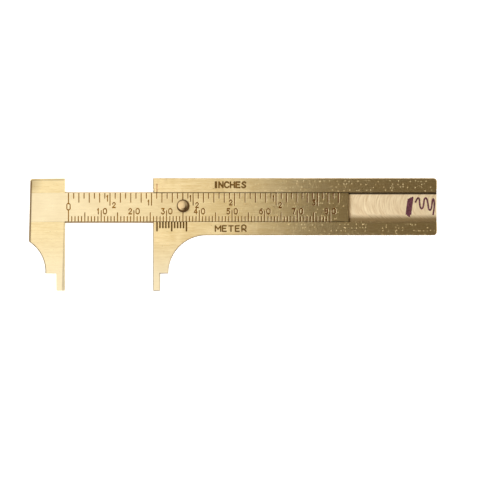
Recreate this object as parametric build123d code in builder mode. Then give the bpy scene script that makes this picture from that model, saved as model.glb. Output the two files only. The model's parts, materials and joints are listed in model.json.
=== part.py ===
from build123d import *
import math
import os

os.makedirs("parts", exist_ok=True)

# A small brass sliding gauge for measuring rings, beads and stones. It lies on its back on z = 0
# with the scales facing up (+Z). The frame and its long grip run along +X, and the two jaws point
# down the page, towards -Y. The origin is the middle of the footprint. All lengths are in mm.
# At rest the gauge stands open by 27 mm.

# Driving dimensions: the whole gauge
gauge_opening = 27.0
plate_thickness = 3.0
overall_width = 34.5
edge_break = 0.2
overshoot = 1.0  # how far the cuts run past the edges they open

# Driving dimensions: the frame
frame_length = 86.8
rail_top_offset = 8.9  # frame's top edge above the channel's centre line
rail_bottom_offset = 8.6
end_corner_radius = 1.1
jaw_step_offset = 20.3  # where the broad jaw steps in to its thin tip
jaw_root_width = 4.6
frame_tip_width = 2.12
relief_radius = 11.7

# Driving dimensions: the head
head_top_width = 10.65
head_width = 11.1
head_top_offset = 8.87
head_top_left_offset = 8.77
head_corner_radius = 0.8
head_shoulder_offsets = (9.9, 10.5)  # the straight bottom end of the head's left edge
head_relief_radius = 10.8
head_root_width = 6.0
head_tip_width = 2.6
head_tip_offset = 25.58
head_left_round = 0.9
head_relief_round = 0.4
jaw_bevel_start_offset = 4.5
jaw_bevel_widths = (0.25, 0.9)  # at its start and at the tip
jaw_bevel_slope = 0.4

# Driving dimensions: the dovetail slide
flank_angle = 74
bar_thickness = 1.5
bar_front_width = 8.75
bar_end_break = 0.1
bar_lower_break = 0.12
channel_front_width = 9.05
lower_side_gap = 0.07
under_bar_gap = 0.08
solder_gap = 0.03

# Driving dimensions: the thumb stud
stud_position = 35.0  # on the millimetre scale
stud_rise = 0.35  # above the channel's centre line
stud_diameter = 3.9
stud_height = 1.5
stud_top_diameter = 3.1
stud_side_height = 0.95
stud_rim_radius = 0.8
shank_diameter = 1.8
shank_fit = 0.02
rivet_diameter = 2.5
rivet_angle = 70

# Driving dimensions: the friction spring
spring_thickness = 0.13
spring_height = 1.1
spring_hook_length = 0.55
spring_back_gap = 0.15  # from the channel's floor
notch_depth = 0.35
notch_height = 1.1

# Driving dimensions: the scales
zero_line_inset = 1.2  # from each jaw face to its zero line
scale_width = 0.44
scale_depth = 0.1
scale_length = 80
millimetre_lengths = {1: 1.75, 5: 2.9, 10: 3.55}
sixteenth = 25.4 / 16
last_sixteenth = 52
sixteenth_lengths = {1: 1.75, 2: 2.95, 8: 3.88}
vernier_divisions = 10
vernier_pitch = 0.9
vernier_lengths = (2.93, 1.96)  # every fifth line, and the others
vernier_width = 0.5
vernier_depth = 0.16
index_length = 2.7

# Driving dimensions: figures and unit names. Each is measured on the middle of its strokes. A foot is
# given from the channel's centre line, a shift from the scale line, and a start from the frame's face.
zero_foot = -0.85
zero_height = 1.95
zero_width = 1.0
ten_foot = -2.04
ten_height = 1.57
tens_shift = -1.12
tens_width = 0.9
units_shift = 1.15
units_width = 1.0
inch_foot = 0.7
inch_height = 1.45
inch_shift = -1.2
inch_width = 0.85
one_shift = -0.9
one_width = 0.5
half_top_foot = 1.87
half_top_height = 1.7
half_top_shift = -0.78
half_bottom_foot = -0.1
half_bottom_height = 1.45
half_bottom_shift = 1.2
inches_stroke = 0.5
meter_stroke = 0.42
letter_height = 1.66
inches_start = 19.0
inches_pitch = 1.75
inches_width = 1.2
inches_foot = 6.01
meter_start = 19.85
meter_pitch = 1.98
meter_width = 1.25
meter_foot = -7.38

# Positions that follow from them
overall_length = head_width + gauge_opening + frame_length
head_left = -overall_length / 2
head_face = head_left + head_width
frame_face = head_face + gauge_opening
frame_end = frame_face + frame_length
frame_top = overall_width / 2
jaw_tip = -overall_width / 2
channel_y = frame_top - rail_top_offset
frame_bottom = channel_y - rail_bottom_offset
jaw_step = channel_y - jaw_step_offset
head_tip = channel_y - head_tip_offset
front = plate_thickness
bar_back = front - bar_thickness
channel_floor = bar_back - under_bar_gap
zero_line = head_face + zero_line_inset
frame_zero = frame_face + zero_line_inset
channel_low = channel_y - channel_front_width / 2
channel_high = channel_y + channel_front_width / 2
bar_low = channel_low + lower_side_gap
bar_high = bar_low + bar_front_width
spring_bottom = channel_floor + spring_back_gap
stud_x = zero_line + stud_position
stud_y = channel_y + stud_rise


def flank_run(depth):
    """How far a dovetail flank leans outwards at a depth below the front."""
    return depth / math.tan(math.radians(flank_angle))


def dovetail(low, high, bottom, top=front):
    """Draws a dovetail section in the YZ plane, whose width is given at the front face."""
    Polygon(
        (low - flank_run(front - bottom), bottom),
        (high + flank_run(front - bottom), bottom),
        (high + flank_run(front - top), top),
        (low - flank_run(front - top), top),
        align=None,
    )


# Single-stroke figures and letters, as an engraver cuts them, in a cell one unit wide and high.
# Two points are a straight stroke, and three are an arc from the first to the last through the middle.
glyphs = {
    "0": (
        ((0, 0.35), (0, 0.65)),
        ((0, 0.65), (0.5, 1), (1, 0.65)),
        ((1, 0.65), (1, 0.35)),
        ((1, 0.35), (0.5, 0), (0, 0.35)),
    ),
    "1": (((0.1, 0.78), (0.55, 1)), ((0.55, 1), (0.55, 0))),
    "2": (((0.05, 0.75), (0.55, 1), (0.95, 0.62)), ((0.95, 0.62), (0, 0)), ((0, 0), (1, 0))),
    "3": (
        ((0.05, 1), (0.95, 1)),
        ((0.95, 1), (0.45, 0.6)),
        ((0.45, 0.6), (1, 0.3), (0.5, 0)),
        ((0.5, 0), (0.2, 0.03), (0, 0.15)),
    ),
    "4": (((0.75, 0), (0.75, 1)), ((0.75, 1), (0, 0.32)), ((0, 0.32), (1, 0.32))),
    "5": (
        ((0.95, 1), (0.15, 1)),
        ((0.15, 1), (0.08, 0.55)),
        ((0.08, 0.55), (1, 0.35), (0.45, 0)),
        ((0.45, 0), (0.2, 0.03), (0, 0.14)),
    ),
    "6": (
        ((0.9, 0.95), (0.25, 0.75), (0, 0.32)),
        ((0, 0.32), (0.5, 0.62), (1, 0.32)),
        ((1, 0.32), (0.5, 0), (0, 0.32)),
    ),
    "7": (((0, 1), (1, 1)), ((1, 1), (0.35, 0))),
    "8": (
        ((0.08, 0.77), (0.5, 1), (0.92, 0.77)),
        ((0.92, 0.77), (0.5, 0.54), (0.08, 0.77)),
        ((0, 0.27), (0.5, 0.54), (1, 0.27)),
        ((1, 0.27), (0.5, 0), (0, 0.27)),
    ),
    "C": (((1, 0.82), (0.45, 1), (0, 0.6)), ((0, 0.6), (0, 0.4)), ((0, 0.4), (0.45, 0), (1, 0.18))),
    "E": (((0, 0), (0, 1)), ((0, 1), (0.9, 1)), ((0, 0.52), (0.75, 0.52)), ((0, 0), (0.9, 0))),
    "H": (((0, 0), (0, 1)), ((1, 0), (1, 1)), ((0, 0.5), (1, 0.5))),
    "I": (((0.57, 0), (0.57, 1)), ((0.78, 0), (0.78, 1))),
    "M": (
        ((-0.15, 0), (-0.15, 1)),
        ((-0.15, 1), (0.5, 0.4)),
        ((0.5, 0.4), (1.15, 1)),
        ((1.15, 1), (1.15, 0)),
    ),
    "N": (((0, 0), (0, 1)), ((0, 1), (1, 0)), ((1, 0), (1, 1))),
    "R": (((0, 0), (0, 1)), ((0, 1), (1, 0.75), (0, 0.48)), ((0.4, 0.48), (1, 0))),
    "S": (
        ((0.95, 0.85), (0.35, 0.98), (0.1, 0.7)),
        ((0.1, 0.7), (0.5, 0.5), (0.92, 0.28)),
        ((0.92, 0.28), (0.6, 0), (0, 0.14)),
    ),
    "T": (((0, 1), (1, 1)), ((0.5, 1), (0.5, 0))),
}


def engrave_glyph(character, centre_x, foot, width, height, stroke=scale_width):
    """Draws one figure or letter in the sketch as round-ended strokes."""

    def placed(point):
        return centre_x + (point[0] - 0.5) * width, channel_y + foot + point[1] * height

    for points in glyphs[character]:
        with BuildLine(mode=Mode.PRIVATE) as path:
            if len(points) == 2:
                Line(placed(points[0]), placed(points[1]))
            else:
                ThreePointArc(*(placed(point) for point in points))
        SlotArc(path.edges()[0], stroke)


def engrave_ticks(places, length, edge, direction, width=scale_width):
    """Draws a row of scale lines that start at an edge and run up (+1) or down (-1) from it."""
    overlap = 0.3
    with Locations(*((x, edge + direction * (length - overlap) / 2) for x in places)):
        SlotOverall(length + overlap, width, rotation=90)


# frame_plate: the fixed jaw and its grip, milled from one plate, with the dovetail channel
with BuildPart() as frame_plate:
    with BuildSketch():
        relief_centre_x = frame_face + jaw_root_width + relief_radius
        with BuildLine():
            Polyline(
                (relief_centre_x, frame_bottom),
                (frame_end, frame_bottom),
                (frame_end, frame_top),
                (frame_face, frame_top),
                (frame_face, jaw_tip),
                (frame_face + frame_tip_width, jaw_tip),
                (frame_face + frame_tip_width, jaw_step),
                (frame_face + jaw_root_width, jaw_step),
            )
            RadiusArc(
                (frame_face + jaw_root_width, jaw_step), (relief_centre_x, frame_bottom), relief_radius
            )
        make_face()
    extrude(amount=plate_thickness)
    fillet(frame_plate.edges().filter_by(Axis.Z).group_by(Axis.X)[-1], end_corner_radius)
    chamfer(frame_plate.faces().filter_by(Axis.Z).edges(), edge_break)
    with BuildSketch(Plane.YZ.offset(frame_face - overshoot)):
        dovetail(channel_low, channel_high, channel_floor, front + overshoot)
    extrude(amount=frame_length + 2 * overshoot, mode=Mode.SUBTRACT)
    with BuildSketch(Plane.XY.offset(spring_bottom - spring_back_gap)):
        with Locations((frame_face, channel_high), (frame_end, channel_high)):
            Rectangle(2 * notch_depth, 2 * notch_height)
    extrude(amount=plate_thickness, mode=Mode.SUBTRACT)
    with BuildSketch(Plane.XY.offset(front)):
        vernier_lines = [frame_zero + n * vernier_pitch for n in range(vernier_divisions + 1)]
        engrave_ticks(vernier_lines[::5], vernier_lengths[0], channel_low, -1, vernier_width)
        engrave_ticks(vernier_lines, vernier_lengths[1], channel_low, -1, vernier_width)
    extrude(amount=-vernier_depth, mode=Mode.SUBTRACT)
    with BuildSketch(Plane.XY.offset(front)):
        engrave_ticks([frame_zero], index_length, channel_high, 1)
        for n, letter in enumerate("INCHES"):
            letter_x = frame_face + inches_start + inches_pitch * n
            engrave_glyph(letter, letter_x, inches_foot, inches_width, letter_height, inches_stroke)
        for n, letter in enumerate("METER"):
            letter_x = frame_face + meter_start + meter_pitch * n
            engrave_glyph(letter, letter_x, meter_foot, meter_width, letter_height, meter_stroke)
    extrude(amount=-scale_depth, mode=Mode.SUBTRACT)
frame_plate.part.label = "frame_plate"
export_step(frame_plate.part, "parts/frame_plate.step")

# friction_spring: a leaf strip along the channel's upper flank, its ends hooked into the frame's notches
with BuildPart() as friction_spring:
    spring_length = frame_length - 2 * (notch_depth - spring_thickness)
    flank_y = channel_high + flank_run(front - spring_bottom)
    with BuildSketch(Plane.XY.offset(spring_bottom)):
        with Locations((frame_face + frame_length / 2, flank_y)):
            Rectangle(spring_length, spring_thickness, align=(Align.CENTER, Align.MAX))
            with Locations((-spring_length / 2, -spring_thickness)):
                Rectangle(spring_thickness, spring_thickness + spring_hook_length, align=Align.MIN)
            with Locations((spring_length / 2, -spring_thickness)):
                Rectangle(
                    spring_thickness,
                    spring_thickness + spring_hook_length,
                    align=(Align.MAX, Align.MIN),
                )
    extrude(amount=spring_height, dir=(0, -flank_run(1), 1))
friction_spring.part.label = "friction_spring"
export_step(friction_spring.part, "parts/friction_spring.step")

# The head's outer form, which the bar's end is dressed to as well
with BuildPart() as head_blank:
    shoulder_top, shoulder = (channel_y - offset for offset in head_shoulder_offsets)
    with BuildSketch():
        with BuildLine():
            Polyline(
                (head_face - head_root_width, jaw_step),
                (head_face - head_tip_width, jaw_step),
                (head_face - head_tip_width, head_tip),
                (head_face, head_tip),
                (head_face, channel_y + head_top_offset),
                (head_face - head_top_width, channel_y + head_top_left_offset),
                (head_left, shoulder_top),
                (head_left, shoulder),
            )
            RadiusArc(
                (head_left, shoulder), (head_face - head_root_width, jaw_step), head_relief_radius
            )
        make_face()
    extrude(amount=plate_thickness)
    upper_corners = head_blank.edges().filter_by(Axis.Z).group_by(Axis.Y)[-2]
    fillet(upper_corners, head_corner_radius)
    front_edges = head_blank.faces().sort_by(Axis.Z)[-1].edges()
    left_edges = front_edges.filter_by_position(Axis.X, head_left - overshoot, head_left + overshoot)
    fillet(left_edges, head_left_round)
    relief_edges = head_blank.faces().sort_by(Axis.Z)[-1].edges().filter_by(GeomType.CIRCLE)
    fillet(relief_edges.sort_by(SortBy.RADIUS)[-1], head_relief_round)
    chamfer(head_blank.faces().sort_by(Axis.Z)[0].edges(), edge_break)


def bevel_section(width):
    """Draws what the bevel takes off the head's inner front edge, where it is this wide."""
    Polygon(
        (head_face - width, front),
        (head_face + overshoot, front - (width + overshoot) * jaw_bevel_slope),
        (head_face + overshoot, front + overshoot),
        (head_face - width, front + overshoot),
        align=None,
    )


# head_jaw: the moving jaw, with the channel that the bar is let into and soldered
with BuildPart() as head_jaw:
    add(head_blank.part)
    with BuildSketch(Plane.YZ.offset(head_left - overshoot)):
        dovetail(bar_low - solder_gap, bar_high + solder_gap, bar_back, front + overshoot)
    extrude(amount=head_width + 2 * overshoot, mode=Mode.SUBTRACT)
    with BuildSketch(Plane.XZ.offset(jaw_bevel_start_offset - channel_y)):
        bevel_section(jaw_bevel_widths[0])
    with BuildSketch(Plane.XZ.offset(head_tip_offset - channel_y)):
        bevel_section(jaw_bevel_widths[1])
    loft(mode=Mode.SUBTRACT)
head_jaw.part.label = "head_jaw"
export_step(head_jaw.part, "parts/head_jaw.step")

# scale_bar: the graduated bar that slides in the frame
with BuildPart() as scale_bar:
    with BuildSketch(Plane.YZ.offset(head_left - overshoot)):
        dovetail(bar_low, bar_high, bar_back)
    extrude(amount=head_width)
    add(head_blank.part, mode=Mode.INTERSECT)
    with BuildSketch(Plane.YZ.offset(head_face - head_width / 2)):
        dovetail(bar_low, bar_high, bar_back)
    extrude(amount=frame_length + head_width / 2)
    chamfer(scale_bar.faces().sort_by(Axis.X)[-1].edges(), bar_end_break)
    with BuildSketch(Plane.YZ.offset(head_face)):
        Polygon(
            (bar_low - overshoot, front - bar_lower_break - overshoot),
            (bar_low - overshoot, front + overshoot),
            (bar_low + bar_lower_break + overshoot, front + overshoot),
            align=None,
        )
    extrude(amount=frame_length, mode=Mode.SUBTRACT)
    with Locations(Location((stud_x, stud_y, bar_back), (180, 0, 0))):
        CounterSinkHole(shank_diameter / 2, rivet_diameter / 2, counter_sink_angle=rivet_angle)
    with BuildSketch(Plane.XY.offset(front)):
        for step, length in millimetre_lengths.items():
            places = [zero_line + n for n in range(step, scale_length + 1, step)]
            engrave_ticks(places, length, bar_low, 1)
        for step, length in sixteenth_lengths.items():
            places = [zero_line + n * sixteenth for n in range(step, last_sixteenth + 1, step)]
            engrave_ticks(places, length, bar_high, -1)
        engrave_ticks([zero_line], channel_y + zero_foot - bar_low, bar_low, 1)
        engrave_ticks([zero_line], bar_high - channel_y - zero_foot - zero_height, bar_high, -1)
        engrave_ticks([stud_x], bar_front_width, bar_low, 1)
    with BuildSketch(Plane.XY.offset(front)):
        engrave_glyph("0", zero_line, zero_foot, zero_width, zero_height)
        engrave_glyph("1", zero_line + 10 + one_shift, ten_foot, one_width, ten_height)
        for tens in range(1, scale_length // 10 + 1):
            tick = zero_line + 10 * tens
            if tens > 1:
                engrave_glyph(str(tens), tick + tens_shift, ten_foot, tens_width, ten_height)
            engrave_glyph("0", tick + units_shift, ten_foot, units_width, ten_height)
    with BuildSketch(Plane.XY.offset(front)):
        inch = 16 * sixteenth
        engrave_glyph("1", zero_line + inch + one_shift, inch_foot, one_width, inch_height)
        for inches in (2, 3):
            figure_x = zero_line + inches * inch + inch_shift
            engrave_glyph(str(inches), figure_x, inch_foot, inch_width, inch_height)
        for inches in (0, 1, 2):
            tick = zero_line + (inches + 0.5) * inch
            engrave_glyph("1", tick + half_top_shift, half_top_foot, one_width, half_top_height)
            engrave_glyph(
                "2", tick + half_bottom_shift, half_bottom_foot, inch_width, half_bottom_height
            )
    extrude(amount=-scale_depth, mode=Mode.SUBTRACT)
scale_bar.part.label = "scale_bar"
export_step(scale_bar.part, "parts/scale_bar.step")

# thumb_stud: the knob that pushes the bar, riveted through it
with BuildPart() as thumb_stud:
    shank_radius = (shank_diameter - shank_fit) / 2
    rivet_radius = (rivet_diameter - shank_fit) / 2
    rivet_depth = (rivet_radius - shank_radius) / math.tan(math.radians(rivet_angle / 2))
    stud_top = front + stud_height
    with BuildSketch(Plane((stud_x, stud_y, 0), x_dir=(1, 0, 0), z_dir=(0, -1, 0))):
        with BuildLine():
            Polyline(
                (stud_top_diameter / 2, stud_top),
                (0, stud_top),
                (0, bar_back),
                (rivet_radius, bar_back),
                (shank_radius, bar_back + rivet_depth),
                (shank_radius, front),
                (stud_diameter / 2, front),
                (stud_diameter / 2, front + stud_side_height),
            )
            RadiusArc(
                (stud_diameter / 2, front + stud_side_height),
                (stud_top_diameter / 2, stud_top),
                -stud_rim_radius,
            )
        make_face()
    revolve(axis=Axis((stud_x, stud_y, 0), (0, 0, 1)))
thumb_stud.part.label = "thumb_stud"
export_step(thumb_stud.part, "parts/thumb_stud.step")
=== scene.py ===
# %% [markdown]
# # A brass sliding gauge
#
# The gauge is a flat pocket caliper in brass. A frame with a fixed jaw holds a dovetailed bar, and
# the bar carries the moving jaw, the scales and a thumb stud. The solid parts come ready-made from
# the CAD model, in metres, and stay exactly where they are. Blender adds what a CAD model can't
# show well: the brushed grain, tarnish and scratches of worn brass, the worn V shape of the
# engraved lines, the turned stud, and the pen mark in the channel.

# %% Load the frame
import json
import math

import bmesh
import bpy
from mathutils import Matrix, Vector

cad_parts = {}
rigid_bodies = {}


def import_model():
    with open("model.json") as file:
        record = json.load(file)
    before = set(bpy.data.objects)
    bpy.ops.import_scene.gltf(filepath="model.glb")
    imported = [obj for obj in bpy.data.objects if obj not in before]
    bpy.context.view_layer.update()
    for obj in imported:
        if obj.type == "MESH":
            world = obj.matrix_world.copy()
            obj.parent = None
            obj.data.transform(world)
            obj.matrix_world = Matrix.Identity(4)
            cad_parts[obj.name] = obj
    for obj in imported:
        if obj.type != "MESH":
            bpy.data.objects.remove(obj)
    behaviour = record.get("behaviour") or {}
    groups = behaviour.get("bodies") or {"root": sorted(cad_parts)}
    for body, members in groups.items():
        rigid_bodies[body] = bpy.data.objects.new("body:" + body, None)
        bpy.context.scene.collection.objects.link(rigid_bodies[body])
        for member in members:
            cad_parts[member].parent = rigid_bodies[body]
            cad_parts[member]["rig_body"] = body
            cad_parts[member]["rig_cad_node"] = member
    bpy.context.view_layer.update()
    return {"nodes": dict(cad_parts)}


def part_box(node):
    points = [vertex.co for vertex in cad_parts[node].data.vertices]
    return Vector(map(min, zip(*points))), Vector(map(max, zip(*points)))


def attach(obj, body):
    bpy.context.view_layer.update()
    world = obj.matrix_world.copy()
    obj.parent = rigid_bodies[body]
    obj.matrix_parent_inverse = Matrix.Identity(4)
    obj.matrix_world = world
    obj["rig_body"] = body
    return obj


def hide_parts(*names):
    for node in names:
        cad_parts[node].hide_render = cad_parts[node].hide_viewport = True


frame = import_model()
nodes = frame["nodes"]
mm = 0.001
print("nodes:", sorted(nodes))

# %% [markdown]
# Every position below is worked out from the boxes of the CAD nodes. The front face of the plates
# is the top of the frame, because the gauge lies on its back. The channel's centre line is a fixed
# distance below the frame's upper edge. The vernier's grooves are cut deeper than all the others.

# %% Places on the gauge
plate_low, plate_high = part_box("frame_plate")
bar_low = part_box("scale_bar")[0]
stud_low, stud_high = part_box("thumb_stud")

front = plate_high.z
bar_back = bar_low.z
channel_y = plate_high.y - 8.9 * mm
channel_width = 9.05 * mm
channel_floor = 1.42 * mm
groove_floor = front - 0.1 * mm
vernier_groove_floor = front - 0.16 * mm
stud_centre = (stud_low + stud_high) / 2
print("front at", round(front / mm, 2), "mm, channel line at", round(channel_y / mm, 2), "mm")

# %% [markdown]
# ## Camera, floor and light
#
# The gauge is seen from straight above. A long lens keeps the two jaws and the long grip free of
# perspective, so that lengths can be compared by eye. The camera's height follows from the lens and
# the width of the view at the front face.

# %% The camera
view_width = 146.7 * mm
view_centre = Vector((2.215 * mm, -1.69 * mm, front))
lens, sensor = 150, 36

camera_data = bpy.data.cameras.new("camera")
camera_data.lens = lens
camera_data.sensor_width = sensor
camera = bpy.data.objects.new("camera", camera_data)
bpy.context.scene.collection.objects.link(camera)
camera_height = view_width * lens / sensor
camera.location = view_centre + Vector((0, 0, camera_height))
bpy.context.scene.camera = camera
bpy.context.scene.view_settings.view_transform = "Standard"
print("camera height", round(camera_height, 3), "m")

# %% [markdown]
# Materials are built from shader nodes, and a few small helpers keep that readable. An input is
# either linked to another node's output or set to a plain value, and one helper does both. The next
# ones add a node, do arithmetic on numbers, and mix two colours.

# %% Helpers for shader nodes


def feed(tree, node, inputs):
    """Feeds a node's inputs: a socket is linked, and any other value is set."""
    for key, value in inputs.items():
        if isinstance(value, bpy.types.NodeSocket):
            tree.links.new(value, node.inputs[key])
        else:
            node.inputs[key].default_value = value


def add(tree, kind, inputs=None, **settings):
    """Adds a shader node with its settings and inputs."""
    made = tree.nodes.new(kind)
    for key, value in settings.items():
        setattr(made, key, value)
    feed(tree, made, inputs or {})
    return made


def maths(tree, operation, *values, clamp=False):
    """One step of arithmetic."""
    inputs = dict(enumerate(values))
    return add(tree, "ShaderNodeMath", inputs, operation=operation, use_clamp=clamp).outputs[0]


def times(tree, first, second):
    """The product of two numbers."""
    return maths(tree, "MULTIPLY", first, second)


def remap(tree, value, low, high, to_low=0.0, to_high=1.0):
    """Maps low..high to to_low..to_high, and holds it there."""
    inputs = {"Value": value, "From Min": low, "From Max": high}
    inputs |= {"To Min": to_low, "To Max": to_high}
    return add(tree, "ShaderNodeMapRange", inputs, clamp=True).outputs["Result"]


def blend(tree, factor, first, second, kind="RGBA"):
    """Mixes two colours, vectors or numbers, each a socket or a plain value."""
    place = {"FLOAT": 0, "VECTOR": 1, "RGBA": 2}[kind]
    inputs = {0: factor, 2 + 2 * place: first, 3 + 2 * place: second}
    return add(tree, "ShaderNodeMix", inputs, data_type=kind).outputs[place]


# %% [markdown]
# Patterns are placed by vectors. These helpers put a vector together, take it apart and calculate
# with it, and they make the two things that most finishes here are built on: noise, and a bump that
# leans the surface without changing its shape.

# %% Helpers for vectors and patterns


def vector(tree, x, y, z):
    """A vector from its three parts."""
    return add(tree, "ShaderNodeCombineXYZ", {"X": x, "Y": y, "Z": z}).outputs[0]


def parts(tree, value):
    """The X, Y and Z of a vector."""
    return add(tree, "ShaderNodeSeparateXYZ", {0: value}).outputs


def vector_maths(tree, operation, *values):
    """One step of vector arithmetic."""
    made = add(tree, "ShaderNodeVectorMath", dict(enumerate(values)), operation=operation)
    return made.outputs["Value" if operation in ("LENGTH", "DISTANCE") else "Vector"]


def noise(tree, place, scale, detail, roughness=0.5):
    """Soft noise between 0 and 1."""
    inputs = {"Vector": place, "Scale": scale, "Detail": detail, "Roughness": roughness}
    return add(tree, "ShaderNodeTexNoise", inputs).outputs["Fac"]


def bump(tree, height, strength, distance):
    """A normal that leans with a height pattern."""
    inputs = {"Height": height, "Strength": strength, "Distance": distance}
    return add(tree, "ShaderNodeBump", inputs).outputs[0]


def millimetres(tree):
    """Object coordinates in millimetres, so that every pattern's size can be given in them."""
    where = add(tree, "ShaderNodeTexCoord").outputs["Object"]
    return add(tree, "ShaderNodeMapping", {"Vector": where, "Scale": (1000, 1000, 1000)}).outputs[0]


# %% [markdown]
# Grain, scratches and tarnish return in several finishes. Each is built once, as a node group with
# named inputs and outputs, and is then placed in every material that needs it.

# %% Helpers for groups and materials


def new_group(name, inputs, outputs):
    """An empty shader group with float or vector sockets, and the sockets of its two ends."""
    tree = bpy.data.node_groups.new(name, "ShaderNodeTree")
    for key, kind in inputs.items():
        tree.interface.new_socket(key, in_out="INPUT", socket_type=kind)
    for key, kind in outputs.items():
        tree.interface.new_socket(key, in_out="OUTPUT", socket_type=kind)
    start, end = tree.nodes.new("NodeGroupInput"), tree.nodes.new("NodeGroupOutput")
    return tree, start.outputs, end.inputs


def use_group(tree, group, inputs):
    """Places a node group and returns its outputs."""
    return add(tree, "ShaderNodeGroup", inputs, node_tree=group).outputs


def new_material(name):
    """A material, its node tree and its Principled BSDF."""
    material = bpy.data.materials.new(name)
    material.use_nodes = True
    return material, material.node_tree, material.node_tree.nodes["Principled BSDF"]


def give(thing, *materials):
    """Puts materials in an object's slots in place of its own."""
    thing.data.materials.clear()
    for material in materials:
        thing.data.materials.append(material)


# %% [markdown]
# The floor is a plain white sheet, far larger than the view. It glows a little, so that it stays
# white beside the gauge.

# %% The floor
bpy.ops.object.select_all(action="DESELECT")
bpy.ops.mesh.primitive_plane_add(size=6, location=(0, 0, 0))
floor = bpy.context.object
floor.name = "floor"
white_paper, tree, shader = new_material("white_paper")
feed(tree, shader, {
    "Base Color": (0.9, 0.9, 0.9, 1),
    "Roughness": 0.9,
    "Specular IOR Level": 0.2,
    "Emission Color": (1, 1, 1, 1),
    "Emission Strength": 0.6,
})
give(floor, white_paper)
print("floor", round(floor.dimensions.x, 2), "m wide")

# %% [markdown]
# Brushed metal shows its surroundings more than its colour. The grain runs along the gauge, so a
# reflection smears across it and stays fairly sharp along it. A wide panel hangs above the left
# half and gives the head and the near part of the frame their bright, creamy tone. A faint one
# under it reaches less far to the right and lifts the head a little more. Beyond the panel's edge
# the grip reflects a darker room. A low panel on the right brightens the jaw's bevel. The panels
# that only whiten the floor are hidden from glossy rays, so that the brass doesn't mirror them.

# %% The lights


def panel(name, centre, size, strength, aim=(0, 0, 0), mirrored=True):
    """A rectangular soft light that faces a point. Its strength is the radiance of its face."""
    data = bpy.data.lights.new(name, "AREA")
    data.shape = "RECTANGLE"
    data.size, data.size_y = size
    data.energy = strength * math.pi * size[0] * size[1]
    light = bpy.data.objects.new(name, data)
    light.location = centre
    light.rotation_mode = "QUATERNION"
    light.rotation_quaternion = (Vector(aim) - Vector(centre)).to_track_quat("-Z", "Y")
    light.visible_camera = False
    light.visible_glossy = mirrored
    bpy.context.scene.collection.objects.link(light)


overhead_size, overhead_height, overhead_y = 0.5, 0.25, 0.05
overhead_right_edge, near_x, near_drop = 0.015, -0.28, 0.01
overhead_x = overhead_right_edge - overhead_size / 2
for name, x, height, strength in (
    ("overhead_panel", overhead_x, overhead_height, 1.0),
    ("near_panel", near_x, overhead_height - near_drop, 0.13),
):
    centre, aim = (x, overhead_y, height), (x, overhead_y, 0)
    panel(name, centre, (overhead_size, overhead_size), strength, aim)
panel("bevel_panel", (0.36, 0, 0.37), (0.9, 0.2), 1.1)
for name, centre, size, strength in (
    ("left_panel", (-0.9, 0, 0.4), (0.8, 0.5), 3.4),
    ("right_panel", (0.75, 0, 0.7), (0.8, 0.5), 3.4),
    ("back_panel", (0, 0.9, 0.5), (0.9, 0.5), 2.6),
    ("front_panel", (0, -0.9, 0.5), (0.9, 0.5), 2.6),
):
    panel(name, centre, size, strength, mirrored=False)

# %% [markdown]
# The room itself has a dark ceiling and pale walls, so the flat faces stay rich in colour from
# above, and a walk round the gauge shows bright edges. The camera sees a plain pale backdrop.

# %% The room
dark_ceiling, pale_walls = (0.15, 0.12, 0.077, 1), (0.6, 0.58, 0.54, 1)
ceiling_starts, walls_end = 0.75, 0.2
world = bpy.data.worlds.new("room")
bpy.context.scene.world = world
world.use_nodes = True
tree = world.node_tree
tree.nodes.clear()
seen = add(tree, "ShaderNodeLightPath").outputs["Is Camera Ray"]
direction = add(tree, "ShaderNodeTexCoord").outputs["Generated"]
wall_share = remap(tree, parts(tree, direction)[2], ceiling_starts, walls_end)
room_colour = blend(tree, wall_share, dark_ceiling, pale_walls)
room = add(tree, "ShaderNodeBackground", {"Color": room_colour, "Strength": 1.0})
backdrop = add(tree, "ShaderNodeBackground", {"Color": (0.9, 0.9, 0.9, 1), "Strength": 1.0})
surroundings = {0: seen, 1: room.outputs[0], 2: backdrop.outputs[0]}
mixed = add(tree, "ShaderNodeMixShader", surroundings)
add(tree, "ShaderNodeOutputWorld", {"Surface": mixed.outputs[0]})
print("room:", len(tree.nodes), "nodes")

# %% [markdown]
# ## Finishes
#
# Brushed grain is a noise pattern stretched along the gauge. An image could carry it, but a pattern
# has no end and no seam. The group puts out long soft streaks and fine short ones. They will drive
# a little colour, the roughness and a shallow bump. Most of a noise pattern lies between 0.3 and
# 0.7, so that range is spread out to the full one.

# %% Group: brushed grain
grain_group, given, out = new_group(
    "brushed_grain",
    {"Vector": "NodeSocketVector", "Stretch": "NodeSocketFloat"},
    {"Streaks": "NodeSocketFloat", "Fine": "NodeSocketFloat"},
)
noise_low, noise_high = 0.3, 0.7
tree = grain_group
for name, along, across, detail in (("Streaks", 1.0, 2.6, 2.0), ("Fine", 5.0, 7.0, 1.0)):
    scale = vector(tree, maths(tree, "DIVIDE", along, given["Stretch"]), across, across)
    place = vector_maths(tree, "MULTIPLY", given["Vector"], scale)
    pattern = noise(tree, place, 1.0, detail)
    tree.links.new(remap(tree, pattern, noise_low, noise_high), out[name])
print("group:", grain_group.name)

# %% [markdown]
# A handled brass face has short scratches in all directions. A Voronoi pattern cuts the face into
# cells, each cell gets a random direction from its own colour, and a thin, slightly bowed line of
# limited length is drawn through its point. One flank of a scratch leans the surface sideways, so
# the group also puts out that lean. Added to the normal, it makes a scratch flash where it faces
# the light and stay dark where it doesn't.

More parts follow.
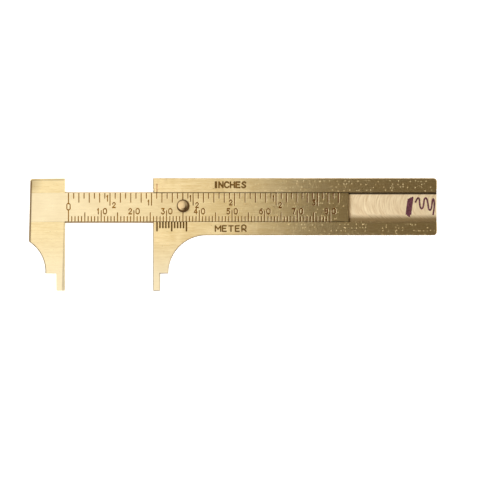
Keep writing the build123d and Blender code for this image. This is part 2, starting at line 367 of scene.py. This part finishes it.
# %% Group: short scratches
scratch_group, given, out = new_group(
    "short_scratches",
    {
        "Vector": "NodeSocketVector",
        "Cell": "NodeSocketFloat",
        "Width": "NodeSocketFloat",
        "Length": "NodeSocketFloat",
        "Share": "NodeSocketFloat",
    },
    {"Mask": "NodeSocketFloat", "Tilt": "NodeSocketVector"},
)
scratch_bow, scratch_depth, upward_lean = 0.15, 0.35, 0.25
tree = scratch_group
flat = vector_maths(tree, "MULTIPLY", given["Vector"], (1, 1, 0))
cell_inputs = {"Vector": flat, "Scale": maths(tree, "DIVIDE", 1.0, given["Cell"])}
cells = add(tree, "ShaderNodeTexVoronoi", cell_inputs).outputs
x, y = parts(tree, vector_maths(tree, "SUBTRACT", flat, cells["Position"]))[:2]
chance = add(tree, "ShaderNodeSeparateColor", {0: cells["Color"]}).outputs
angle = times(tree, chance[0], 2 * math.pi)
cosine, sine = maths(tree, "COSINE", angle), maths(tree, "SINE", angle)
along = maths(tree, "ADD", times(tree, x, cosine), times(tree, y, sine))
across = maths(tree, "SUBTRACT", times(tree, y, cosine), times(tree, x, sine))
bowed = maths(tree, "ADD", across, times(tree, times(tree, along, along), scratch_bow))
half_width, half_length = times(tree, given["Width"], 0.5), times(tree, given["Length"], 0.5)
thin = maths(tree, "LESS_THAN", maths(tree, "ABSOLUTE", bowed), half_width)
short = maths(tree, "LESS_THAN", maths(tree, "ABSOLUTE", along), half_length)
chosen = maths(tree, "LESS_THAN", chance[1], given["Share"])
mask = times(tree, times(tree, thin, short), chosen)
leftward = times(tree, maths(tree, "ABSOLUTE", sine), -1.0)
lean = vector(tree, leftward, times(tree, cosine, upward_lean), 0.0)
tilt_inputs = {0: lean, "Scale": times(tree, mask, scratch_depth)}
tilt = add(tree, "ShaderNodeVectorMath", tilt_inputs, operation="SCALE").outputs[0]
tree.links.new(mask, out["Mask"])
tree.links.new(tilt, out["Tilt"])
print("group:", scratch_group.name)

# %% [markdown]
# Brass left in a drawer goes brown in soft clouds, with a few dark specks. Both are noise: the
# clouds take its middle range, and the specks only its highest peaks.

# %% Group: tarnish clouds
cloud_group, given, out = new_group(
    "tarnish_clouds",
    {"Vector": "NodeSocketVector", "Size": "NodeSocketFloat"},
    {"Amount": "NodeSocketFloat", "Specks": "NodeSocketFloat"},
)
tree = cloud_group
cloud = noise(tree, given["Vector"], maths(tree, "DIVIDE", 1.0, given["Size"]), 4.0)
speck = noise(tree, given["Vector"], 1.6, 2.0)
tree.links.new(remap(tree, cloud, 0.35, 0.7), out["Amount"])
tree.links.new(remap(tree, speck, 0.72, 0.76), out["Specks"])
print("group:", cloud_group.name)

# %% [markdown]
# Tarnish stays on rounded and broken edges, where no polishing cloth presses. The same dark brown
# is also a painted shade on the edges that turn away from the light. The group reads the surface's
# own normal: level faces are clean, sloping ones are darkest, and upright walls are in between.
# Faces that look towards +X count only in part, because the bevel panel lights the jaw's bevel, and
# so do those that look towards +Y, where the painted shade is kept lighter along the top. Two
# inputs say how much they count.

# %% Group: edge tarnish and painted shade
tarnish_and_shade_group, given, out = new_group(
    "edge_tarnish_and_shade",
    {"Normal": "NodeSocketVector", "Right": "NodeSocketFloat", "Top": "NodeSocketFloat"},
    {"Mask": "NodeSocketFloat"},
)
slope_starts, slope_darkest = 0.06, 0.4
wall_starts, wall_share = 0.965, 0.35
top_ease_starts, top_ease_full = 0.05, 0.35
tree = tarnish_and_shade_group
x, y = parts(tree, given["Normal"])[:2]
sideways = maths(tree, "MAXIMUM", times(tree, x, -1.0), maths(tree, "ABSOLUTE", y))
sideways = maths(tree, "MAXIMUM", sideways, times(tree, x, given["Right"]))
sloping = remap(tree, sideways, slope_starts, slope_darkest)
upright = remap(tree, sideways, wall_starts, 1.0, 1.0, wall_share)
# Less painted shade on faces that look towards +Y.
top_shade_eased = remap(tree, y, top_ease_starts, top_ease_full, 1.0, given["Top"])
tree.links.new(times(tree, times(tree, sloping, upright), top_shade_eased), out["Mask"])
print("group:", tarnish_and_shade_group.name)

# %% [markdown]
# The colour of worn brass is laid on in turn: bright and dull metal by a shade, dark specks over
# it, then a side that hands have rubbed pale, which fades along one axis, and a painted shade in
# one corner, which fades all round.

# %% Colour of worn brass
tarnish_and_shade_brown, rubbed_gold = (0.14, 0.08, 0.035, 1), (0.88, 0.78, 0.55, 1)
speck_share = 0.6


def worn_colour(tree, place, shade, specks, bright, dull, rubbed, corner_shade):
    """rubbed is an axis, two places and a share. The corner's painted shade is a place, its reach
    and a share.
    """
    colour = blend(tree, shade, bright, dull)
    colour = blend(tree, times(tree, specks, speck_share), colour, tarnish_and_shade_brown)
    if rubbed:
        axis, palest, fades, share = rubbed
        pale = remap(tree, parts(tree, place)[axis], fades, palest)
        colour = blend(tree, times(tree, pale, share), colour, rubbed_gold)
    # A painted shade darkens one corner.
    if corner_shade:
        corner, reach, share = corner_shade
        corner_shade_mask = remap(tree, vector_maths(tree, "DISTANCE", place, corner), reach, 0)
        colour = blend(tree, times(tree, corner_shade_mask, share), colour, tarnish_and_shade_brown)
    return colour


# %% [markdown]
# One function makes each brass finish. The parts differ in how bright, tarnished and scratched they
# are, so those are its arguments. Cycles spreads a reflection along the tangent when Anisotropic is
# above zero, so the tangent points across the grain.

# %% Brushed brass


def brushed_brass(
    name, bright, dull, tarnish, scratches,
    edges=0.85, right_edges=0.0, top_edges=0.4, rubbed=None, corner_shade=None,
):
    """A worn brushed brass with its grain along X. edges says how dark tarnish and painted shade
    leave them.
    """
    material, tree, shader = new_material(name)
    place = millimetres(tree)
    grain = use_group(tree, grain_group, {"Vector": place, "Stretch": 8.0})
    clouds = use_group(tree, cloud_group, {"Vector": place, "Size": 5.0})
    nicks = {"Vector": place, "Cell": 0.95, "Width": 0.2, "Length": 0.34, "Share": scratches}
    nicks = use_group(tree, scratch_group, nicks)
    hairs = {"Vector": place, "Cell": 2.4, "Width": 0.06, "Length": 1.3, "Share": scratches / 2}
    hairs = use_group(tree, scratch_group, hairs)

    shade = maths(tree, "ADD", times(tree, grain["Streaks"], 0.5), times(tree, grain["Fine"], 0.5))
    shade = maths(tree, "ADD", shade, times(tree, clouds["Amount"], tarnish), clamp=True)
    colour = worn_colour(tree, place, shade, clouds["Specks"], bright, dull, rubbed, corner_shade)
    normal = add(tree, "ShaderNodeTexCoord").outputs["Normal"]
    facing = {"Normal": normal, "Right": right_edges, "Top": top_edges}
    # Edges darken partly with tarnish and partly with painted shade.
    edge = times(tree, use_group(tree, tarnish_and_shade_group, facing)["Mask"], edges)
    leaning = bump(tree, grain["Fine"], 0.15, 0.02 * mm)
    for scratch in (nicks, hairs):
        leaning = vector_maths(tree, "ADD", leaning, scratch["Tilt"])
    feed(tree, shader, {
        "Base Color": blend(tree, edge, colour, tarnish_and_shade_brown),
        "Metallic": 1.0,
        "Roughness": remap(tree, shade, 0, 1, 0.25, 0.36),
        "Anisotropic": 0.8,
        "Normal": vector_maths(tree, "NORMALIZE", leaning),
        "Tangent": vector(tree, 0.0, 1.0, 0.0),
    })
    return material


# %% [markdown]
# The head is the brightest part, with a painted shade in its upper left corner. The bar is rubbed
# pale towards its left end. The frame is browner and more scratched, and pale towards the jaw's
# tip. The friction spring is a strip of bronze, and only its upper edge shows, as a dark line
# beside the bar.

# %% The metals of the CAD pieces
head_brass = brushed_brass(
    "head_brass", (0.91, 0.77, 0.46, 1), (0.75, 0.58, 0.29, 1), 0.15, 0.12, top_edges=0.1,
    rubbed=(1, -14, 2, 0.7), corner_shade=((-62, 15.7, 3), 4.1, 0.46),
)
bar_brass = brushed_brass(
    "bar_brass", (0.86, 0.7, 0.39, 1), (0.7, 0.52, 0.24, 1), 0.3, 0.2, right_edges=1.0,
    top_edges=0.6, rubbed=(0, -55, -5, 0.62),
)
frame_brass = brushed_brass(
    "frame_brass", (0.95, 0.79, 0.47, 1), (0.76, 0.57, 0.27, 1), 0.35, 0.33, right_edges=0.3,
    rubbed=(1, -12, -1, 0.7),
)
spring_bronze = brushed_brass(
    "spring_bronze", (0.42, 0.26, 0.12, 1), (0.2, 0.12, 0.05, 1), 0.6, 0.0
)
for node_name, metal in (
    ("head_jaw", head_brass),
    ("scale_bar", bar_brass),
    ("frame_plate", frame_brass),
    ("friction_spring", spring_bronze),
):
    give(nodes[node_name], metal)
    print(node_name, "is in", metal.name)

# %% [markdown]
# The channel's floor was cut with an end mill, which leaves arcs one behind the other. Across such
# arcs a reflection spreads in the arcs' radial direction, so the tangent is turned there. The
# cutter leaned a little, so each arc is a step that faces left. A painted shadow darkens the floor
# along its upper edge, under the overhang of the upper rail, and a painted shade darkens its lower
# side, where the arcs send no light back. The floor isn't a piece of its own, so a mask by height
# and place lays this finish over the brass.

# %% Milled floor of the channel
arc_radius, arc_centre_y = 5.4, channel_y / mm + 1.1
arcs_per_mm, arc_stretch, arc_lean = 2.0, 1.2, -0.2
floor_cream, floor_dull = (1, 0.85, 0.58, 1), (0.68, 0.5, 0.29, 1)
# The floor's colours, then the painted shade on its lower side and the painted shadow along its
# upper edge.
lower_shade_brown, undercut_shadow_black = (0.27, 0.19, 0.09, 1), (0.07, 0.05, 0.03, 1)
lower_shade_starts, lower_shade_full, raggedness = -0.9, -2.2, 2.6
undercut_shadow_starts, undercut_shadow_full = 3.8, 4.05
floor_margin, floor_tolerance = 0.6, 0.05


def on_channel_floor(tree, side, z):
    """A mask of the channel's floor, by the distance from its centre line and the height."""
    half_width = channel_width / mm / 2 + floor_margin
    inside = maths(tree, "LESS_THAN", maths(tree, "ABSOLUTE", side), half_width)
    low = maths(tree, "LESS_THAN", z, channel_floor / mm + floor_tolerance)
    high = maths(tree, "GREATER_THAN", z, channel_floor / mm - floor_tolerance)
    return times(tree, inside, times(tree, low, high))


def mill_floor(material):
    """Lays the milled finish over a brass, on the channel's floor only."""
    tree = material.node_tree
    shader = tree.nodes["Principled BSDF"]
    x, y, z = parts(tree, millimetres(tree))
    side = maths(tree, "SUBTRACT", y, channel_y / mm)
    mask = on_channel_floor(tree, side, z)
    rise = maths(tree, "DIVIDE", maths(tree, "SUBTRACT", y, arc_centre_y), arc_radius)
    rise = maths(tree, "MINIMUM", maths(tree, "MAXIMUM", rise, -1.0), 1.0)
    run = maths(tree, "SQRT", maths(tree, "SUBTRACT", 1.0, times(tree, rise, rise)))
    step = maths(tree, "ADD", x, times(tree, run, arc_radius))
    along_arcs = vector(tree, times(tree, step, arcs_per_mm), times(tree, rise, arc_stretch), 0.0)
    arcs = noise(tree, along_arcs, 1.0, 5.0, 0.65)

    ragged = maths(tree, "ADD", side, times(tree, arcs, raggedness))
    lower_shade = remap(tree, ragged, lower_shade_starts, lower_shade_full)
    undercut_shadow = remap(tree, side, undercut_shadow_starts, undercut_shadow_full)
    colour = blend(tree, remap(tree, arcs, noise_low, noise_high), floor_cream, floor_dull)
    # Painted shade on the lower side, then a painted shadow along the upper edge.
    colour = blend(tree, lower_shade, colour, lower_shade_brown)
    colour = blend(tree, undercut_shadow, colour, undercut_shadow_black)
    tilted = vector_maths(tree, "ADD", bump(tree, arcs, 0.5, 0.06 * mm), (arc_lean, 0, 0))
    for socket, value, kind in (
        ("Base Color", colour, "RGBA"),
        ("Roughness", 0.33, "FLOAT"),
        ("Normal", vector_maths(tree, "NORMALIZE", tilted), "VECTOR"),
        ("Tangent", vector(tree, times(tree, run, -1.0), rise, 0.0), "VECTOR"),
    ):
        rail_value = shader.inputs[socket].links[0].from_socket
        feed(tree, shader, {socket: blend(tree, mask, rail_value, value, kind)})


mill_floor(frame_brass)
print(frame_brass.name, len(frame_brass.node_tree.nodes), "nodes")

# %% [markdown]
# ## Engraved lines
#
# A graver and a stamp leave V-shaped lines, and years of handling leave dark wax and tarnish in
# them. The CAD model has plain square grooves. A bump could only suggest their flanks, so a filling
# is modelled for each set of grooves: the groove floors are copied, extruded up to the face, and
# the top is inset and pushed down. That gives sloping flanks and a bottom. The top stays a hair
# below the brass, so that the two never lie in one plane.

# %% Filling for grooves
merge_distance = 0.0005 * mm
level_tolerance, level_normal = 0.005 * mm, 0.9
below_face = 0.004 * mm


def groove_floors(name, node, floor_height, from_x, to_x):
    """A copy of a node that keeps only its groove floors at one height, between two places."""
    bpy.ops.object.select_all(action="DESELECT")
    node.select_set(True)
    bpy.context.view_layer.objects.active = node
    bpy.ops.object.duplicate()
    copy = bpy.context.object
    bpy.ops.object.parent_clear(type="CLEAR_KEEP_TRANSFORM")
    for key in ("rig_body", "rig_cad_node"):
        if key in copy:
            del copy[key]
    copy.name = copy.data.name = name
    bpy.ops.object.mode_set(mode="EDIT")
    bpy.ops.mesh.select_mode(type="FACE")
    bpy.ops.mesh.select_all(action="SELECT")
    bpy.ops.mesh.remove_doubles(threshold=merge_distance)
    mesh = bmesh.from_edit_mesh(copy.data)
    for face in mesh.faces:
        centre = face.calc_center_median()
        level = abs(centre.z - floor_height) < level_tolerance and face.normal.z > level_normal
        inside = from_x < centre.x < to_x
        face.select_set(not (level and inside))
    bmesh.update_edit_mesh(copy.data)
    bpy.ops.mesh.delete(type="FACE")
    return copy


def groove_filling(name, node, floor_height, flank, sink, from_x=-1.0, to_x=1.0):
    """A closed filling with flanks of a width, whose bottom is sunk by a depth."""
    filling = groove_floors(name, node, floor_height, from_x, to_x)
    rise = front - below_face - floor_height
    bpy.ops.mesh.select_all(action="SELECT")
    bpy.ops.mesh.extrude_region_move(TRANSFORM_OT_translate={"value": (0, 0, rise)})
    bpy.ops.mesh.inset(thickness=flank, depth=-sink, use_even_offset=True)
    bpy.ops.mesh.select_all(action="SELECT")
    bpy.ops.mesh.normals_make_consistent(inside=False)
    bpy.ops.object.mode_set(mode="OBJECT")
    print(name, len(filling.data.polygons), "faces")
    return filling


# %% [markdown]
# The wax is a dark, dull mixture with paler, worn patches. On the bar it darkens towards the right,
# is darkest well inside the grip, and pales towards the head.

# %% Old wax
patch_paleness, patch_share = 2.0, 0.6
deepest_brown, wax_fades_over = (0.08, 0.026, 0.001, 1), 45


def old_wax(name, colour, darkest=None):
    """The dark mixture of wax and tarnish in a line. It may darken along X to a place, in mm."""
    material, tree, shader = new_material(name)
    place = millimetres(tree)
    patches = use_group(tree, cloud_group, {"Vector": place, "Size": 1.2})["Amount"]
    worn = tuple(min(1, patch_paleness * part) for part in colour[:3]) + (1,)
    shown = blend(tree, times(tree, patches, patch_share), colour, worn)
    if darkest is not None:
        deep = remap(tree, parts(tree, place)[0], darkest - wax_fades_over, darkest)
        shown = blend(tree, deep, shown, deepest_brown)
    feed(tree, shader, {"Base Color": shown, "Roughness": 0.8, "Specular IOR Level": 0.05})
    return material


scale_wax = old_wax("scale_wax", (0.155, 0.072, 0.008, 1), 20)
letter_wax = old_wax("letter_wax", (0.09, 0.046, 0.01, 1))
index_wax = old_wax("index_wax", (0.4, 0.24, 0.12, 1))
vernier_wax = old_wax("vernier_wax", (0.08, 0.04, 0.008, 1))
# A paler brass for the scale lines' right-hand flanks: a painted highlight.
highlit_flank_brass = brushed_brass(
    "highlit_flank_brass", (1, 0.87, 0.57, 1), (0.95, 0.8, 0.48, 1), 0.2, 0.0, edges=0.0
)
print("waxes:", [wax.name for wax in (scale_wax, letter_wax, index_wax, vernier_wax)])

# %% [markdown]
# The right-hand flanks of the scale lines get a paler brass than the bar, a painted highlight on
# top of the light they catch, and everything else in the groove is dark. The unit names and the
# vernier are stamped and keep dark flanks. The scales slide with the bar. The names, the index line
# and the vernier stay on the frame. A flank on a groove's right-hand side is known by its normal,
# which looks left and up.

# %% The engraved lines
letters_from = plate_low.x + 5 * mm
looks_left, looks_up = -0.15, 0.2


def finish_filling(filling, wax, body, flank=highlit_flank_brass):
    """Gives a filling its wax, a metal for its right-hand flanks, and its body and slot."""
    give(filling, wax, flank)
    for face in filling.data.polygons:
        right_flank = face.normal.x < looks_left and face.normal.z > looks_up
        face.material_index = 1 if right_flank else 0
    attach(filling, body)


scale_lines = groove_filling(
    "scale_lines", nodes["scale_bar"], groove_floor, 0.1 * mm, 0.048 * mm
)
finish_filling(scale_lines, scale_wax, "slide")

plate = nodes["frame_plate"]
unit_names = groove_filling(
    "unit_names", plate, groove_floor, 0.07 * mm, 0.05 * mm, from_x=letters_from
)
finish_filling(unit_names, letter_wax, "frame", letter_wax)
index_line = groove_filling(
    "index_line", plate, groove_floor, 0.04 * mm, 0.03 * mm, to_x=letters_from
)
finish_filling(index_line, index_wax, "frame")
vernier_lines = groove_filling(
    "vernier_lines", plate, vernier_groove_floor, 0.06 * mm, 0.1 * mm
)
finish_filling(vernier_lines, vernier_wax, "frame", vernier_wax)

# %% [markdown]
# ## The thumb stud
#
# The stud was turned on a lathe: a round head with a softly rounded rim and a faint dome, a thin
# shank through the bar, and a rivet head spread into the bar's back. A turned part is a profile
# swept round an axis, so the profile comes first. It is a list of heights and radii, from the rivet
# up to the middle of the dome.

# %% The stud's profile
rivet_radius, rivet_depth, shank_radius = 1.24 * mm, 0.5 * mm, 0.89 * mm
stud_top = stud_high.z
head_radius, head_height = (stud_high.x - stud_low.x) / 2, stud_top - front
rim_foot, rim_starts = front + 0.12 * head_height, front + 0.5 * head_height
rim_rise, rim_run = 0.42 * head_height, 0.45 * head_radius
dome_drop, dome_radius = 0.08 * head_height, 0.6 * head_radius

profile = [(bar_back + rivet_depth, shank_radius), (front, shank_radius)]
profile += [(front, 0.9 * head_radius), (rim_foot, head_radius), (rim_starts, head_radius)]
for angle in range(15, 91, 15):
    lift, reach = math.sin(math.radians(angle)), math.cos(math.radians(angle))
    profile.append((rim_starts + rim_rise * lift, head_radius - rim_run * (1 - reach)))
for radius in (0.45 * head_radius, 0.3 * head_radius, 0.15 * head_radius, 0.03 * head_radius):
    profile.append((stud_top - dome_drop * (radius / dome_radius) ** 2, radius))
print("profile:", len(profile), "steps up to", round(profile[-1][0] / mm, 3), "mm")

# %% [markdown]
# The profile could be drawn as a line and spun. Here one disc is extruded step by step up the
# profile instead, and each step is scaled to its radius, which leaves no seam to close.

# %% The turned stud
bpy.ops.object.select_all(action="DESELECT")
bpy.ops.mesh.primitive_circle_add(
    vertices=72, radius=rivet_radius, fill_type="NGON",
    location=(stud_centre.x, stud_centre.y, bar_back),
)
stud = bpy.context.object
bpy.ops.object.transform_apply(location=True, rotation=True, scale=True)
stud.name = stud.data.name = "turned_stud"
bpy.ops.object.mode_set(mode="EDIT")
bpy.ops.mesh.select_mode(type="FACE")
bpy.ops.mesh.select_all(action="SELECT")
height, radius = bar_back, rivet_radius
for new_height, new_radius in profile:
    bpy.ops.mesh.extrude_region_move(
        TRANSFORM_OT_translate={"value": (0, 0, new_height - height)}
    )
    ratio = new_radius / radius
    bpy.ops.transform.resize(
        value=(ratio, ratio, 1), center_override=(stud_centre.x, stud_centre.y, new_height)
    )
    height, radius = new_height, new_radius
bpy.ops.mesh.select_all(action="SELECT")
bpy.ops.mesh.remove_doubles(threshold=merge_distance)
bpy.ops.mesh.normals_make_consistent(inside=False)
bpy.ops.object.mode_set(mode="OBJECT")
bpy.ops.object.shade_smooth_by_angle(angle=math.radians(40))
print("turned_stud", len(stud.data.polygons), "faces")

# %% [markdown]
# A turned face carries fine rings, and its reflection spreads along the radius. The side is dark
# brown, partly grime and partly painted shade: the top and the upper left rim are kept bright as if
# lit from the upper left, and the painted shade is heaviest at the lower right.

# %% Turned brass
turned_bright, turned_dull = (0.88, 0.67, 0.38, 1), (0.66, 0.48, 0.25, 1)
# The side's colour, partly grime and partly painted shade, and how the painted shade leans to the
# lower right.
side_grime_and_shade, side_grime_and_shade_share = (0.13, 0.065, 0.02, 1), 0.95
rings_per_mm, upper_left_light_slant, upper_left_light_share = 6.0, 0.7, 0.24


def turned_brass(name, centre):
    """Worn brass with rings round a vertical axis through the centre."""
    material, tree, shader = new_material(name)
    place = millimetres(tree)
    offset = vector_maths(tree, "ADD", place, (-centre.x / mm, -centre.y / mm, 0))
    flat = vector_maths(tree, "MULTIPLY", offset, (1, 1, 0))
    distance = vector_maths(tree, "LENGTH", flat)
    rings = noise(tree, vector(tree, times(tree, distance, rings_per_mm), 0.0, 0.0), 1.0, 2.0)
    clouds = use_group(tree, cloud_group, {"Vector": place, "Size": 1.6})["Amount"]
    shade = maths(tree, "ADD", times(tree, clouds, 0.6), times(tree, rings, 0.4))
    worn = blend(tree, shade, turned_bright, turned_dull)
    x, y, z = parts(tree, add(tree, "ShaderNodeTexCoord").outputs["Normal"])
    # Painted shade: normals that look to the upper left count as more level, so the lower right of
    # the rim darkens most.
    lit_from_upper_left = times(tree, maths(tree, "SUBTRACT", y, times(tree, x, upper_left_light_slant)), upper_left_light_share)
    grime_and_shade_side = remap(tree, maths(tree, "ADD", z, lit_from_upper_left), 0.975, 0.93)
    feed(tree, shader, {
        "Base Color": blend(tree, times(tree, grime_and_shade_side, side_grime_and_shade_share), worn, side_grime_and_shade),
        "Metallic": 1.0,
        "Roughness": remap(tree, shade, 0, 1, 0.28, 0.4),
        "Anisotropic": 0.4,
        "Normal": bump(tree, rings, 0.2, 0.02 * mm),
        "Tangent": flat,
    })
    return material


give(stud, turned_brass("turned_brass", stud_centre))
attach(stud, "slide")
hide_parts("thumb_stud")
print("turned_stud is in", stud.data.materials[0].name)

# %% [markdown]
# ## Pen strokes
#
# Someone wrote on the channel's floor with a violet marker. The ink could be painted on in the
# material, but a layer of its own can be taken off again. A stroke is drawn as a smooth path with
# a round section, as wide as the pen.

# %% One pen stroke
pen_width = 0.52 * mm
ink_height = 0.012 * mm


def pen_stroke(points):
    """One stroke through points given in mm from the channel's right end and its centre line."""
    bpy.ops.object.select_all(action="DESELECT")
    bpy.ops.curve.primitive_nurbs_path_add(location=(0, 0, 0))
    path = bpy.context.object
    spline = path.data.splines[0]
    spline.points.add(len(points) - len(spline.points))
    for point, (along, up) in zip(spline.points, points):
        point.co = (plate_high.x + along * mm, channel_y + up * mm, channel_floor, 1)
    spline.order_u = 4
    spline.use_endpoint_u = True
    path.data.bevel_depth = pen_width / 2
    path.data.bevel_resolution = 2
    path.data.use_fill_caps = True
    return path


# %% [markdown]
# The strokes are a plain scribble: a thick slanting block of four strokes side by side, and a wavy
# line. They are joined, made a mesh, and pressed flat onto the floor until only a very thin layer
# is left.

# %% The scribble
block_strokes, block_step = 4, 0.42
scribble = []
for n in range(block_strokes):
    shift = block_step * n
    scribble.append([
        (-8.6 + shift, 2.6 + 0.2 * n), (-8.75 + shift, 1.6), (-9.0 + shift, 0.2),
        (-9.15 + shift, -1.2), (-9.25 + shift, -2.3 - 0.35 * (n % 3)),
    ])
scribble.append([
    (-6.5, 1.4), (-5.9, 3.1), (-5.1, 2.9), (-5.3, 0.6), (-4.6, -0.9), (-3.9, 0.4), (-3.9, 2.6),
    (-3.1, 3.1), (-2.6, 1.2), (-2.5, -0.8), (-1.7, -1.1), (-1.4, 0.9), (-1.2, 2.8), (-0.6, 2.3),
    (-0.7, -0.5), (-1.1, -2.4),
])
strokes = [pen_stroke(points) for points in scribble]
bpy.ops.object.select_all(action="DESELECT")
for stroke in strokes:
    stroke.select_set(True)
bpy.context.view_layer.objects.active = strokes[0]
bpy.ops.object.join()
bpy.ops.object.convert(target="MESH")
ink = bpy.context.object
ink.name = ink.data.name = "pen_strokes"
bpy.ops.object.mode_set(mode="EDIT")
bpy.ops.mesh.select_all(action="SELECT")
bpy.ops.transform.resize(
    value=(1, 1, 2 * ink_height / pen_width), center_override=(0, 0, channel_floor)
)
bpy.ops.mesh.normals_make_consistent(inside=False)
bpy.ops.object.mode_set(mode="OBJECT")
bpy.ops.object.shade_smooth()
print("pen_strokes", len(ink.data.polygons), "faces")

# %% [markdown]
# Marker ink lets the metal shine through a little, and it is thinner where the pen moved fast.

# %% Violet ink
deep_violet, thin_violet = (0.06, 0.014, 0.02, 1), (0.17, 0.05, 0.075, 1)
violet_ink, tree, shader = new_material("violet_ink")
thinness = use_group(tree, cloud_group, {"Vector": millimetres(tree), "Size": 0.7})["Amount"]
violet = blend(tree, thinness, deep_violet, thin_violet)
feed(tree, shader, {"Base Color": violet, "Roughness": 0.45, "Metallic": 0.3})
give(ink, violet_ink)
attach(ink, "frame")
print("pen_strokes is in", violet_ink.name)
